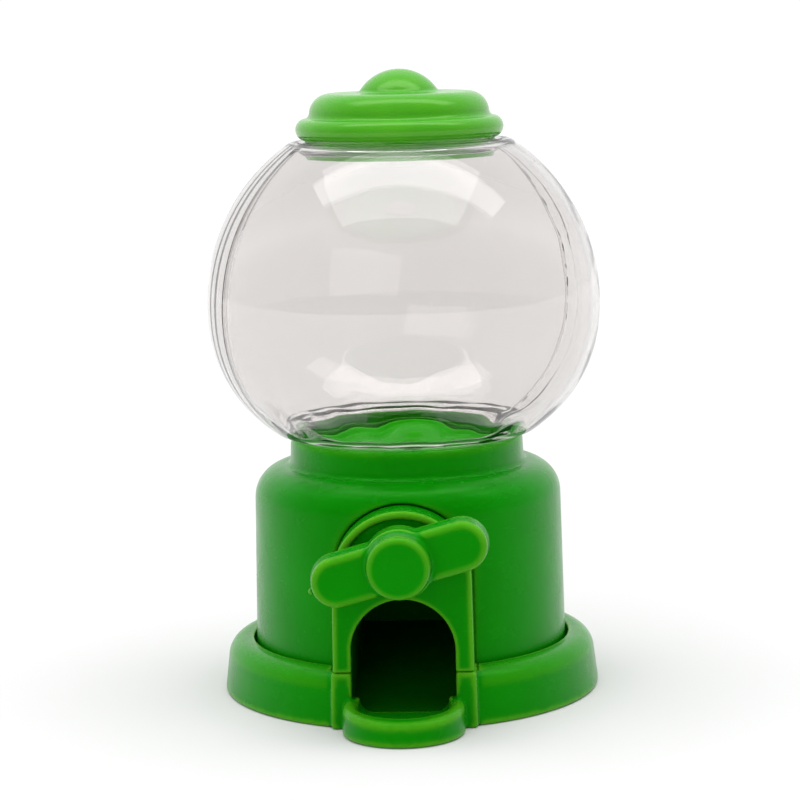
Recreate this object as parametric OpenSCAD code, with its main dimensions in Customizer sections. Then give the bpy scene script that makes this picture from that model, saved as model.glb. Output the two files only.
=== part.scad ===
// Toy gumball machine for a desk: a clear globe over a moulded base, with a handle that drops
// one sweet at each half turn. Millimetres. The origin is the middle of the underside, +Z is up
// and the front, with the handle and the tray, faces -Y.

/* [Base] */
// Radius of the base where it stands
base_r = 38.2; // [37.8:0.1:38.8]
// Height of the base ring
base_h = 10.8; // [10.6:0.1:11]
// Half width of the flat block at the front of the base
block_w = 14.2; // [14:0.1:14.6]
// Distance from the axis to the block's flat front
block_y = 37; // [36.8:0.1:37.4]
// Outer radius of the tray's round lip
lip_r = 11.9; // [11.4:0.1:12.2]
// Distance from the axis to the centre of the tray's round lip
lip_y = 39; // [38:0.5:40]
// Height of the tray's lip
lip_h = 5.8; // [5:0.1:6.5]

/* [Body] */
// Radius of the body at its foot
body_foot_r = 31.6; // [31.2:0.1:31.9]
// Radius of the body under its shoulder
body_top_r = 31; // [30.8:0.1:31.4]
// Radius of the rounded shoulder
shoulder_r = 6.5; // [6:0.1:7]
// Height where the shoulder meets the collar
shoulder_z = 46; // [45.8:0.1:46.4]
// Outer radius of the collar that holds the globe
collar_r = 23.5; // [23.4:0.1:24]
// Height of the collar's top
collar_z = 51.8; // [51.6:0.1:51.8]
// Thickness of the moulded walls
wall = 1.8; // [1.6:0.1:1.9]

/* [Front panel] */
// Half width of the arched panel
panel_w = 13.4; // [13.2:0.1:13.5]
// Height of the centre of the panel's arch
panel_arch_z = 29; // [28.5:0.1:29.5]
// Distance from the axis to the panel's face
panel_y = 36.5; // [36.3:0.1:36.8]
// Half width of the chute's opening
chute_w = 10.05; // [9.8:0.05:10.1]
// Height of the top of the chute's opening
chute_top_z = 25.3; // [25:0.1:25.6]

/* [Handle] */
// Height of the handle's axis
handle_z = 33.8; // [33.7:0.1:34.1]
// Distance from the axis to the front of the knob
knob_y = 49; // [48:0.5:50]
// Radius of the knob
knob_r = 5.95; // [5.8:0.05:6.2]
// Overall length of the two arms
handle_len = 34.8; // [33:0.2:36]
// Half width of an arm
arm_w = 5.1; // [4.6:0.1:5.4]
// Tilt of the handle as it was left
handle_tilt = 15.5; // [0:0.5:90]

/* [Globe] */
// Largest radius of the globe
globe_r = 39.5; // [39:0.1:40]
// Height of the globe's widest part
globe_z = 78.5; // [78.4:0.1:78.6]
// Rise of the upper half
globe_up = 39; // [38.9:0.1:39.1]
// Drop of the lower half, which is a little flatter
globe_down = 32.6; // [32.5:0.1:32.7]
// Thickness of the globe's wall
glass = 1.4; // [1.2:0.1:1.4]
// Turn of the joint between the two halves of the globe
seam_turn = 31.5; // [0:0.5:180]

/* [Lid] */
// Height of the top of the lid's button
top_z = 125; // [124.6:0.1:125.4]
// Outer radius of the lid's rolled rim
rim_r = 20.8; // [20.6:0.1:21]
// Radius of the lid's dome
dome_r = 18; // [17.8:0.1:18.2]
// Radius of the button on top
button_r = 7.8; // [7:0.1:8.5]

/* [Dispenser] */
// Radius of the drum that carries a sweet down
drum_r = 8.2; // [8:0.1:8.2]
// Length of the drum
drum_len = 15; // [14:0.5:15]
// Radius of a pocket in the drum
pocket_r = 5; // [4.5:0.1:5.2]
// Radius of the spindle
spindle_r = 2.5; // [2.3:0.1:2.6]

/* [Hidden] */
$fn = 96;

eps = 0.01;
far = 60;             // longer than anything that a cut has to reach through
gap = 0.3;            // gap between mouldings that sit side by side
run = 0.05;           // radial clearance of a turning shaft
lid_run = 0.1;        // radial clearance of the lid's plug and of the globe's neck

green = [0.05, 0.52, 0.06];
bright = [0.28, 0.75, 0.16];
steel = [0.72, 0.73, 0.75];
clear = [0.85, 0.84, 0.82, 0.3];
white = [0.9, 0.9, 0.88];

// Base
ring_in = 32.3;       // inner edge of the ring, a groove's width outside the body
ring_mid_r = base_r - 0.8;
ring_mid_z = 6.5;
ring_round = 3.4;     // rounding of the ring's upper outer edge
seat_z = 6;           // flange that the body stands on
seat_t = 1.8;
seat_in = 24;
tray_z = 2;           // floor of the tray
lip_wall = 2.9;
block_top = 11;
block_in = 28.5;      // back of the block
skin = 2.7;           // thickness of the block's front
post_ring = 27.4;     // circle of the body's screw posts
post_turns = [-25, 50, 130, 205];
plate_turns = [12, 90, 168];
plate_ring = 26.6;
plate_t = 1.2;
plate_boss = 2.6;     // height of the plate's screw bosses
plate_head = 1.5;     // depth of the recess for a screw's head

// Body and panel
panel_back = 25.5;
panel_foot = block_top + gap;
well_depth = 1;
well_rim = 1.4;
well_foot = 32.2;
face_t = 2.4;
tab_x = 17;
tab_y = 20.6;
tab_z = 24;
chute_arch_z = chute_top_z - chute_w;

// Screws, all self-tapping: hole in the part that is held, hole in the boss, thread and head
clear_r = 1.4;
pilot_r = 1.2;
screw_r = 1.15;
head_r = 2.3;
head_t = 1.3;
boss_r = 2.6;

// Globe, neck and collar
neck_r = 21.1;
neck_bore = 22;
bead_r = 21.8;
bead_z = [48.4, 49.8];
mouth_r = 18.9;
mouth_z = [107.6, 110.95];
power = 2.2;          // power of the flattened lower half
lap = 1.6;            // width of the lap joint between the halves

// Dispenser
house_in = drum_r + gap;
house_out = house_in + 1.3;
house_y = drum_len / 2 + 0.7;
end_t = 1.6;
throat_r = 5.5;
outlet_r = 6.5;
lug_x = 14.2;
lug_z = [31, 35];
flat_x = 1.9;         // flat on the spindle, as a distance from its axis
hub_back = 39.5;
stem_r = 4.4;
hub_r = knob_r + 0.8;
stem_back = panel_y - well_depth + 0.4;
hub_web = [43, 44.2]; // wall in the handle's hub that its screw clamps
cap_t = 1.6;
hopper_r = [20.2, 21.6];
hopper_z = [37, 48.2];
hopper_ring = 24.6;
hopper_turns = [90, 215, 325];
ramp_front = [34.2, 2.9];
ramp_back = [9, 10.5];
chute_t = 1.2;
chute_top = 22.9;
ear_y = 6;

function arc(x, z, r, a0, a1, n = 8) =
    [for (i = [0:n]) let (a = a0 + (a1 - a0) * i / n) [x + r * cos(a), z + r * sin(a)]];

// A rod along Y between two distances in front of the axis
module rod(r, y_front, y_back, x = 0, z = handle_z)
    translate([x, -y_back, z]) rotate([90, 0, 0]) cylinder(r = r, h = y_front - y_back);

// A plate in the XZ plane, from one distance in front of the axis back to another
module slab(y_front, y_back)
    translate([0, -y_back, 0]) rotate([90, 0, 0]) linear_extrude(y_front - y_back) children();

// Outline of the arched panel and of its openings, standing on z0
module arch(w, z_mid, z0) {
    translate([0, z_mid]) circle(r = w);
    translate([-w, z0]) square([2 * w, z_mid - z0]);
}

module around(turns, ring) for (a = turns) rotate([0, 0, a]) translate([ring, 0, 0]) children();

// Pan-head screw with its head's underside at the origin, driven towards +Z
module screw(length) difference() {
    union() {
        translate([0, 0, -head_t]) cylinder(r = head_r, h = head_t);
        cylinder(r = screw_r, h = length);
    }
    translate([-0.35, -1.5, -head_t - eps]) cube([0.7, 3, 0.7]);
    translate([-1.5, -0.35, -head_t - eps]) cube([3, 0.7, 0.7]);
}

// Cross-section of the spindle where it drives something
module d_section(r, flat) intersection() {
    circle(r = r);
    translate([-r, -r]) square([r + flat, 2 * r]);
}

// ---- Base -----------------------------------------------------------------------------------

module base_profile() polygon(concat(
    [[base_r, 0], [ring_mid_r, ring_mid_z]],
    arc(ring_mid_r - 0.2 - ring_round, base_h - ring_round, ring_round, 8, 90),
    [[ring_in + 0.5, base_h], [ring_in, base_h - 0.5], [ring_in, seat_z], [seat_in, seat_z],
     [seat_in, seat_z - seat_t], [ring_in + wall, seat_z - seat_t], [ring_in + wall, base_h - wall],
     [base_r - 3, base_h - wall], [base_r - 2, 0]]));

module tray_outline(r) {
    translate([0, -lip_y]) circle(r = r);
    translate([-r, -lip_y]) square([2 * r, lip_y - block_in]);
}

module base() color(green) difference() {
    union() {
        difference() {
            rotate_extrude() base_profile();
            translate([-block_w, -far, -eps]) cube([2 * block_w, far - block_in, far]);
        }
        translate([-block_w, -block_y, 0]) cube([2 * block_w, block_y - block_in, block_top]);
        linear_extrude(lip_h) difference() {
            tray_outline(lip_r);
            translate([-far / 2, -block_y + skin]) square([far, far]);
        }
        around(plate_turns, plate_ring) translate([0, 0, plate_boss])
            cylinder(r = boss_r - 0.2, h = 9 - plate_boss);
    }
    translate([0, 0, tray_z]) linear_extrude(far) tray_outline(lip_r - lip_wall);
    translate([-chute_w, -block_y - eps, tray_z]) cube([2 * chute_w, far, far]);
    translate([-chute_w - chute_t - 0.15, -block_y + skin, tray_z])
        cube([2 * (chute_w + chute_t + 0.15), block_y - skin - 20, far]);
    around(post_turns, post_ring) translate([0, 0, 3]) cylinder(r = clear_r, h = 6);
    around(plate_turns, plate_ring) translate([0, 0, 1]) cylinder(r = pilot_r, h = 7);
}

module bottom_plate() color(green) difference() {
    union() {
        cylinder(r = base_r - 2.6, h = plate_t);
        around(plate_turns, plate_ring) cylinder(r = boss_r + 0.9, h = plate_boss);
    }
    translate([-block_w - gap, -far, -eps]) cube([2 * (block_w + gap), far - block_in + gap, far]);
    around(plate_turns, plate_ring) {
        translate([0, 0, -eps]) cylinder(r = head_r + gap, h = plate_head + eps);
        cylinder(r = clear_r, h = far);
    }
}

// ---- Body -----------------------------------------------------------------------------------

// Outside of the body, drawn in by t: foot, side, rounded shoulder, then the collar
module body_outline(t, foot) polygon(concat(
    [[0, foot], [body_foot_r - t, foot], [body_top_r - t, shoulder_z - shoulder_r]],
    arc(body_top_r - shoulder_r, shoulder_z - shoulder_r, shoulder_r - t, 0, 90),
    [[collar_r, shoulder_z - t], [0, shoulder_z - t]]));

module collar_profile() polygon(concat(
    [[neck_bore, shoulder_z - wall], [collar_r, shoulder_z - wall]],
    arc(collar_r - 1.2, collar_z - 1.2, 1.2, 0, 90, 5),
    [[neck_r + lid_run + 0.4, collar_z], [neck_r + lid_run, collar_z - 0.4],
     [neck_r + lid_run, bead_z[1] + 0.2], [neck_bore, bead_z[1] + 0.2]]));

module body_shell() color(green) difference() {
    union() {
        rotate_extrude() difference() {
            body_outline(0, seat_z);
            body_outline(wall, seat_z - 1);
            square([neck_bore, far]);
        }
        rotate_extrude() collar_profile();
        intersection() {
            union() {
                around(post_turns, post_ring) translate([0, 0, seat_z])
                    cylinder(r = boss_r + 0.2, h = 28);
                around(hopper_turns, hopper_ring) translate([0, 0, hopper_z[0] + 1.6])
                    cylinder(r = boss_r, h = 6);
                for (x = [-tab_x, tab_x]) rod(boss_r - 0.2, far, tab_y, x, tab_z);
            }
            rotate_extrude() body_outline(wall / 2, seat_z);
        }
    }
    slab(far, 15) arch(panel_w + gap, panel_arch_z, 0);
    around(post_turns, post_ring) translate([0, 0, seat_z - 1]) cylinder(r = pilot_r, h = 11);
    around(hopper_turns, hopper_ring) translate([0, 0, hopper_z[0] + 1]) cylinder(r = pilot_r, h = 5.8);
    for (x = [-tab_x, tab_x]) rod(pilot_r, tab_y + 3.9, tab_y - 1, x, tab_z);
}

module front_panel() color(green) difference() {
    union() {
        difference() {
            slab(panel_y, panel_back) arch(panel_w, panel_arch_z, panel_foot);
            slab(panel_y - face_t, 0) arch(panel_w - 1.6, panel_arch_z, 0);
        }
        rod(5.5, panel_y - 1.2, 29);
        for (s = [-1, 1]) {
            translate([s * (panel_w - 0.8) - 0.8, -panel_back - 1, tab_z - 3.5])
                cube([1.6, panel_back + 1 - tab_y + 1.6, 7]);
            translate([s * (tab_x - 0.8) - 3.4, -tab_y, tab_z - 3.5]) cube([6.8, 1.6, 7]);
        }
    }
    slab(far, panel_y - well_depth) intersection() {
        arch(panel_w - well_rim, panel_arch_z, panel_foot);
        translate([-far / 2, well_foot]) square([far, far]);
    }
    rod(stem_r + gap, far, panel_y - well_depth);
    slab(far, 30) arch(chute_w, chute_arch_z, 0);
    rod(spindle_r + run, far, 20);
    for (x = [-tab_x, tab_x]) rod(clear_r, far, 0, x, tab_z);
}

// ---- Dispenser ------------------------------------------------------------------------------

module hopper() color(green) difference() {
    union() {
        rotate_extrude() polygon([[hopper_r[0], hopper_z[0]], [hopper_r[1], hopper_z[0]],
            [hopper_r[1], hopper_z[1]], [hopper_r[0] - 0.4, hopper_z[1]],
            [throat_r, 45.4], [throat_r, 40], [throat_r + 1.4, 40], [throat_r + 1.4, 44.2],
            [hopper_r[0], 46.7]]);
        around(hopper_turns, hopper_ring) translate([0, 0, hopper_z[0]]) difference() {
            union() {
                cylinder(r = 3, h = 1.6);
                translate([-hopper_ring + hopper_r[0] + 0.7, -3, 0])
                    cube([hopper_ring - hopper_r[0] - 0.7, 6, 1.6]);
            }
            translate([0, 0, -1]) cylinder(r = clear_r, h = 4);
        }
        for (x = [-lug_x, lug_x]) translate([x, 0, lug_z[1]]) cylinder(r = boss_r - 0.2, h = 11);
    }
    for (x = [-lug_x, lug_x]) translate([x, 0, lug_z[1] - 1]) cylinder(r = pilot_r, h = 8);
    rod(house_out + 0.1, 20, -20);
}

module drum_housing() color(green) difference() {
    union() {
        rod(house_out, house_y + end_t, -house_y);
        for (s = [-1, 1]) {
            translate([s * 13 - 4.5, -house_y, lug_z[0]]) cube([9, 2 * house_y, lug_z[1] - lug_z[0]]);
            translate([s * 13.6 - 3, ear_y - 2.8, chute_top + run]) cube([6, 5, 9]);
        }
    }
    rod(house_in, house_y, -far);
    rod(spindle_r + 0.3, far, 0);
    translate([0, 0, handle_z]) cylinder(r = throat_r, h = far);
    translate([0, 0, handle_z - far]) cylinder(r = outlet_r, h = far);
    for (s = [-1, 1]) {
        translate([s * lug_x, 0, lug_z[0] - 1]) cylinder(r = clear_r, h = 8);
        rod(pilot_r, -house_y + 6, -house_y - 1, s * lug_x, 33);
        translate([s * 13.6, ear_y, 22]) cylinder(r = pilot_r, h = 4.4);
    }
}

module bearing_plate() color(green) difference() {
    union() {
        rod(house_out, -house_y, -house_y - end_t);
        translate([-lug_x - 3, house_y, lug_z[0]]) cube([2 * lug_x + 6, end_t, lug_z[1] - lug_z[0]]);
    }
    rod(spindle_r + run, 0, -20);
    for (x = [-lug_x, lug_x]) rod(clear_r, 0, -20, x, 33);
}

module chute() color(green) difference() {
    union() {
        for (s = [-1, 1]) {
            translate([s * (chute_w + chute_t / 2) - chute_t / 2, 0, 0]) rotate([90, 0, 90])
                linear_extrude(chute_t) polygon([[-ramp_front[0], tray_z], [-ramp_front[0] + 0.8, tray_z],
                    [ramp_back[0] + chute_t, ramp_back[1] - 1.6], [ramp_back[0] + chute_t, chute_top],
                    [-ramp_front[0] + gap, chute_top]]);
            translate([s * 13.6 - 3.1, ear_y - 3, chute_top - 1.6]) cube([6.2, 6, 1.6]);
        }
        translate([-chute_w - eps, 0, 0]) rotate([90, 0, 90]) linear_extrude(2 * (chute_w + eps))
            polygon([[-ramp_front[0], tray_z], [-ramp_front[0] + 0.8, tray_z],
                [ramp_back[0] + chute_t, ramp_back[1] - 1.6], [ramp_back[0] + chute_t, chute_top],
                [ramp_back[0], chute_top], ramp_back, [-ramp_front[0], ramp_front[1]]]);
    }
    for (x = [-13.6, 13.6]) translate([x, ear_y, 20]) cylinder(r = clear_r, h = 4);
}

// ---- Screws ---------------------------------------------------------------------------------

module body_screws() color(steel) around(post_turns, post_ring)
    translate([0, 0, seat_z - seat_t]) screw(11);

module plate_screws() color(steel) around(plate_turns, plate_ring)
    translate([0, 0, plate_head]) screw(6);

module panel_screws() color(steel) for (x = [-tab_x, tab_x])
    translate([x, -tab_y + 1.6, tab_z]) rotate([90, 0, 0]) screw(5);

module hopper_screws() color(steel) around(hopper_turns, hopper_ring)
    translate([0, 0, hopper_z[0]]) screw(6.5);

module housing_screws() color(steel) for (x = [-lug_x, lug_x])
    translate([x, 0, lug_z[0]]) screw(10);

module bearing_screws() color(steel) for (x = [-lug_x, lug_x])
    translate([x, house_y + end_t, 33]) rotate([90, 0, 0]) screw(6.5);

module chute_screws() color(steel) for (x = [-13.6, 13.6])
    translate([x, ear_y, chute_top - 1.6]) screw(4.6);

// ---- Handle and drum ------------------------------------------------------------------------

module spindle() color(steel) difference() {
    rod(spindle_r, hub_web[0], -house_y - end_t - 0.2);
    for (y = [[far, stem_back], [drum_len / 2, -drum_len / 2]])
        translate([flat_x, -y[0], handle_z - 5]) cube([5, y[0] - y[1], 10]);
    rod(pilot_r, far, hub_web[0] - 7);
    rod(pilot_r, -house_y - end_t + 6, -far);
}

module drum() color(white) difference() {
    rod(drum_r, drum_len / 2, -drum_len / 2);
    translate([0, drum_len, handle_z]) rotate([90, 0, 0]) linear_extrude(2 * drum_len)
        d_section(spindle_r, flat_x);
    for (a = [0, 180]) translate([0, 0, handle_z]) rotate([0, a, 0])
        translate([0, 0, spindle_r + 1.1]) cylinder(r = pocket_r, h = far);
}

module handle() color(green) difference() {
    union() {
        slab(hub_back + 5.5, hub_back) translate([0, handle_z]) rotate(handle_tilt) {
            square([handle_len - 2 * arm_w, 2 * arm_w], center = true);
            for (s = [-1, 1]) translate([s * (handle_len / 2 - arm_w), 0]) circle(r = arm_w);
        }
        rod(hub_r, hub_back + 5.5, hub_back);
        rod(knob_r, knob_y - cap_t, hub_back);
        rod(stem_r, hub_back, stem_back);
    }
    translate([0, -hub_web[0], handle_z]) rotate([-90, 0, 0]) linear_extrude(far)
        mirror([0, 1]) d_section(spindle_r, flat_x);
    rod(clear_r, far, hub_web[0] - 1);
    rod(3.3, far, hub_web[1]);
}

module knob_cap() color(green) {
    rod(knob_r, knob_y, knob_y - cap_t);
    rod(3.2, knob_y - cap_t, knob_y - cap_t - 1.6);
}

module handle_screw() color(steel) translate([0, -hub_web[1], handle_z]) rotate([-90, 0, 0]) screw(7);

module spindle_washer() color(steel) difference() {
    rod(4.4, -house_y - end_t - 0.2, -house_y - end_t - 1);
    rod(clear_r, 0, -far);
}

module spindle_screw() color(steel) translate([0, house_y + end_t + 1, handle_z])
    rotate([90, 0, 0]) screw(6);

// ---- Globe ----------------------------------------------------------------------------------

// One side of the globe's wall, drawn in by t, from low to high. The lower half is a flattened
// round whose power is a little over 2, and the upper half is nearly a sphere.
function globe_side(t, low, high, n = 12) = concat(
    [for (i = [0:n]) let (a = low * (1 - i / n))
        [(globe_r - t) * pow(cos(a), 2 / power), globe_z - (globe_down - t) * pow(sin(a), 2 / power)]],
    [for (i = [1:n]) let (a = high * i / n)
        [(globe_r - t) * cos(a), globe_z + (globe_up - t) * sin(a)]]);

function reversed(list) = [for (i = [len(list) - 1:-1:0]) list[i]];

module globe_wall(t_out, t_in) {
    low_out = 50.9;
    low_in = 49.5;
    high_out = 57;
    polygon(concat(
        [[neck_r - t_out, bead_z[1]], [neck_r - t_out, 51.9], [21.5, 52.2 + t_out], [22.6, 52.3 + t_out]],
        globe_side(t_out, low_out, high_out),
        [[mouth_r + 1.5, mouth_z[1] - t_out], [mouth_r + 1.5, mouth_z[1] - 0.8]],
        reversed(globe_side(t_in, low_in, high_out)),
        [[22, 53.6], [neck_r - t_in, 52.6], [neck_r - t_in, bead_z[1]]]));
}

module globe_ends() {
    translate([neck_r - glass, bead_z[0]]) square([bead_r - neck_r + glass, bead_z[1] - bead_z[0]]);
    translate([mouth_r, mouth_z[0]]) square([1.5, mouth_z[1] - mouth_z[0]]);
}

module half_space(y0, y1) translate([-far, y0, 0]) cube([2 * far, y1 - y0, 3 * far]);

module globe_front() color(clear) rotate([0, 0, seam_turn]) {
    intersection() {
        rotate_extrude() { globe_wall(0, glass); globe_ends(); }
        half_space(-far, -lap);
    }
    intersection() {
        rotate_extrude() { globe_wall(0, glass / 2); globe_ends(); }
        half_space(-lap, 0);
    }
}

module globe_rear() color(clear) rotate([0, 0, seam_turn]) {
    intersection() {
        rotate_extrude() { globe_wall(0, glass); globe_ends(); }
        half_space(0, far);
    }
    intersection() {
        rotate_extrude() globe_wall(glass / 2, glass);
        half_space(-lap, 0);
    }
}

// ---- Lid ------------------------------------------------------------------------------------

module lid() color(bright) {
    tube = 2.23;
    rim_mid = [rim_r - tube - 0.01, 113.35];
    shoulder = 4.2;
    dome_z = 120.4;
    rise = top_z - dome_z - 0.35;
    cap_r = (button_r * button_r + rise * rise) / (2 * rise);
    foot = asin((cap_r - rise) / cap_r);
    rotate_extrude() polygon(concat(
        [[17.3, 106.6], [mouth_r - lid_run, 106.6], [mouth_r - lid_run, 111.15]],
        arc(rim_mid[0], rim_mid[1], tube, -75, 70, 12),
        [[dome_r, rim_mid[1] + tube - 0.05]],
        arc(dome_r - shoulder, dome_z - shoulder, shoulder, 0, 90, 8),
        arc(0, top_z - cap_r, cap_r, foot, 90, 10),
        arc(0, top_z - cap_r, cap_r - 1.6, 90, foot + 4, 8),
        [[dome_r - shoulder, dome_z - 1.6]],
        arc(dome_r - shoulder, dome_z - shoulder, shoulder - 1.6, 90, 0, 6),
        [[dome_r - 1.6, 113.2], [17.3, 112]]));
}

base();
bottom_plate();
body_shell();
front_panel();
hopper();
drum_housing();
bearing_plate();
chute();
body_screws();
plate_screws();
panel_screws();
hopper_screws();
housing_screws();
bearing_screws();
chute_screws();
spindle();
drum();
handle();
knob_cap();
handle_screw();
spindle_washer();
spindle_screw();
globe_front();
globe_rear();
lid();
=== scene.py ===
import math

import bmesh
import bpy
import numpy as np
from mathutils import Matrix, Vector


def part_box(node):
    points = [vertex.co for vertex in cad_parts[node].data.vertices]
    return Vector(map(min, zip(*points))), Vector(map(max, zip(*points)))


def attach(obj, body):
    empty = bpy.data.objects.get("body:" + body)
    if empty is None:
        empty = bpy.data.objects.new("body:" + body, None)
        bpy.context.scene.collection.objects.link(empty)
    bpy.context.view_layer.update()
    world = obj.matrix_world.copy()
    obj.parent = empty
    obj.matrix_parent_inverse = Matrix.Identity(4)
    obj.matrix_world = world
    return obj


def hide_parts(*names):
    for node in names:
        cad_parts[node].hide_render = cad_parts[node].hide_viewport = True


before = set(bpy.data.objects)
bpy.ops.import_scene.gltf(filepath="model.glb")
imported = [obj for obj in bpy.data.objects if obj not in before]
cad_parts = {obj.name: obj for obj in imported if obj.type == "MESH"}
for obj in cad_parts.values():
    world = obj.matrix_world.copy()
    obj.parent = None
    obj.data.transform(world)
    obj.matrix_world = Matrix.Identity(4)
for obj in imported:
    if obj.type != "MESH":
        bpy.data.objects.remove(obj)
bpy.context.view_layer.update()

# Toy gumball machine: green mouldings, a clear globe in two halves, and a lid with a button.
# Shapes are worked out in millimetres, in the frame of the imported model: +Z up, front at -Y.

MM = 0.001


def span(node):
    """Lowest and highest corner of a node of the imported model, in millimetres."""
    low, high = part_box(node)
    return np.array(low) / MM, np.array(high) / MM


base_low, base_high = span("base")
body_low, body_high = span("body_shell")
panel_low, panel_high = span("front_panel")
handle_low, handle_high = span("handle")
knob_low, knob_high = span("knob_cap")
lid_low, lid_high = span("lid")

# Base ring, block and tray
base_r = base_high[1]
block_top = base_high[2]
base_h = block_top - 0.2
lip_r = 11.9
lip_y = -base_low[1] - lip_r
block_w = 14.2
block_y = 37.0
block_in = 28.5
ring_in = 32.05
ring_round = 3.4
seat_z = body_low[2]
seat_t = 1.8
seat_in = 24.0
base_wall = 1.9
tray_z = 2.0
tray_rise = 0.85
rim_z = 5.95
slot_z = 5.9
bowl_r = 7.4
plate_post_r = 26.6
plate_post_turns = (12, 90, 168)

# Body, panel and collar
wall = 1.8
body_foot_r = body_high[1]
body_top_r = body_foot_r - 0.6
collar_z = body_high[2]
shoulder_z = 46.0
shoulder_r = 6.5
collar_r = 23.5
neck_bore = 22.0
collar_lip = 21.2
gap = 0.3
panel_y = -panel_low[1]
panel_top = panel_high[2]
panel_w = 13.4
arch_z = panel_top - panel_w
panel_back = 25.5
chute_w = 10.05
chute_arch_z = 15.25
body_post_r = 27.4
body_post_turns = (-25, 50, 130, 205)
hopper_post_r = 24.6
hopper_post_turns = (90, 215, 325)
drum_lug_x = 14.2
ear_r = 24.4
ear_low, ear_top = 37.0, 38.6

# Handle
knob_r = (knob_high[0] - knob_low[0]) / 2
axis_z = (knob_high[2] + knob_low[2]) / 2
knob_y = -knob_low[1]
cap_back = -handle_low[1]
stem_back = -handle_high[1]
arm_half = 17.4
arm_w = 5.1
hub_r = knob_r + 0.8
handle_tilt = math.radians(15.5)

# Globe and lid
globe_z = 78.5
globe_r = 39.5
globe_up = 39.0
globe_down = 32.6
glass_t = 1.4
seam_turn = math.radians(29.5)
lap_w = 1.6
half_slit = 0.025
neck_r = 21.1
bead_r = 21.8
mouth_r = 18.9
mouth_top = 110.95
lid_top = lid_high[2]
rim_r = lid_high[1]


# ---- Outlines and skins ---------------------------------------------------------------------

def arc(u, v, radius, start, end, steps=12):
    """Points on a circle round (u, v), at turns from start to end in degrees."""
    turn = np.radians(np.linspace(start, end, steps))
    return np.stack([u + radius * np.cos(turn), v + radius * np.sin(turn)], 1)


def evenly(path, step):
    """The same path with its points a step apart: each coordinate is read off at equal lengths."""
    length = np.append(0, np.cumsum(np.hypot(*np.diff(path, axis=0).T)))
    at = np.linspace(0, length[-1], max(2, round(length[-1] / step) + 1))
    return np.stack([np.interp(at, length, path[:, k]) for k in (0, 1)], 1)


def soften(path, reach, step=0.3, closed=False, on_axis=False):
    """Rounds the corners of an outline as a moulding's are: points a step apart, each replaced by
    the mean of those round it, weighted by exp(-d^2 / 2 reach^2) of their distance d along it. A
    closed outline runs on past its end, and one that ends on the axis runs on as its mirror image."""
    path = evenly(np.vstack([path, path[:1]]) if closed else path, step)
    size = max(1, math.ceil(3 * reach / step))
    if closed:
        path = path[:-1]
        before, after = path[-size:], path[:size]
    else:
        before, after = path[size:0:-1].copy(), path[-2:-size - 2:-1].copy()
        for end, run in ((path[0], before), (path[-1], after)):
            run[:] = run * (-1, 1) if on_axis else 2 * end - run
    weight = np.exp(-0.5 * (np.arange(-size, size + 1) * step / reach) ** 2)
    longer = np.vstack([before, path, after])
    return np.stack([np.convolve(longer[:, k], weight / weight.sum(), "valid") for k in (0, 1)], 1)


def quads(rows, columns, round_rows=False, round_columns=False):
    """Four-sided faces of a grid of points, row after row; a round grid joins its end to its start."""
    number = np.arange(rows * columns).reshape(rows, columns)
    if round_rows:
        number = np.vstack([number, number[:1]])
    if round_columns:
        number = np.hstack([number, number[:, :1]])
    corners = (number[:-1, :-1], number[:-1, 1:], number[1:, 1:], number[1:, :-1])
    return np.stack(corners, -1).reshape(-1, 4)


def spin(outline, turns=160, closed=True):
    """Skin swept by an outline (r, z) turned about Z: the point at turn a is (r cos a, r sin a, z)."""
    a = np.linspace(0, 2 * np.pi, turns, endpoint=False)
    r, z = outline[:, :1], outline[:, 1:]
    points = np.stack([r * np.cos(a), r * np.sin(a), z + 0 * a], -1).reshape(-1, 3)
    return points, quads(len(outline), turns, round_rows=closed, round_columns=True)


def tube(x, y, low, high, radius, bore, turns=32):
    """Upright tube from low to high, round (x, y)."""
    ring = np.array([(radius, low), (radius, high), (bore, high), (bore, low)])
    points, faces = spin(ring, turns)
    return points + (x, y, 0), faces


def together(parts):
    """Several skins as one: each one's faces count on from the points of those before it."""
    starts = np.cumsum([0] + [len(points) for points, faces in parts[:-1]])
    faces = [faces + start for (points, faces), start in zip(parts, starts)]
    return np.vstack([points for points, _ in parts]), np.vstack(faces)


# ---- Solids by distance ---------------------------------------------------------------------
# A solid is a function of x, y and z that is negative inside it and tells how far its skin is.

def join(a, b, radius):
    """Both solids, with a fillet where they meet: max(radius, min(a, b)) less the length of the
    vector (radius - a, radius - b), each part of it taken as 0 where it is negative."""
    reach = np.hypot(np.maximum(radius - a, 0), np.maximum(radius - b, 0))
    return np.maximum(radius, np.minimum(a, b)) - reach


def meet(a, b, radius):
    """What two solids share, its outer edge rounded: join turned inside out."""
    return -join(-a, -b, radius)


def cut(a, b, radius):
    """The first solid without the second, the cut's edge rounded."""
    return meet(a, -b, radius)


def between(value, low, high):
    """Distance to a layer from low to high."""
    return np.abs(value - (low + high) / 2) - (high - low) / 2


def rod(x, y, z, radius, front, back, at_x=0.0, at_z=axis_z, edge=0.0):
    """Rod along Y, from one distance in front of the axis back to another."""
    return meet(np.hypot(x - at_x, z - at_z) - radius, between(-y, back, front), edge)


def box_solid(x, y, z, low, high, edge):
    """Box between two corners, its edges rounded."""
    sides = meet(between(x, low[0], high[0]), between(y, low[1], high[1]), edge)
    return meet(sides, between(z, low[2], high[2]), edge)


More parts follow.
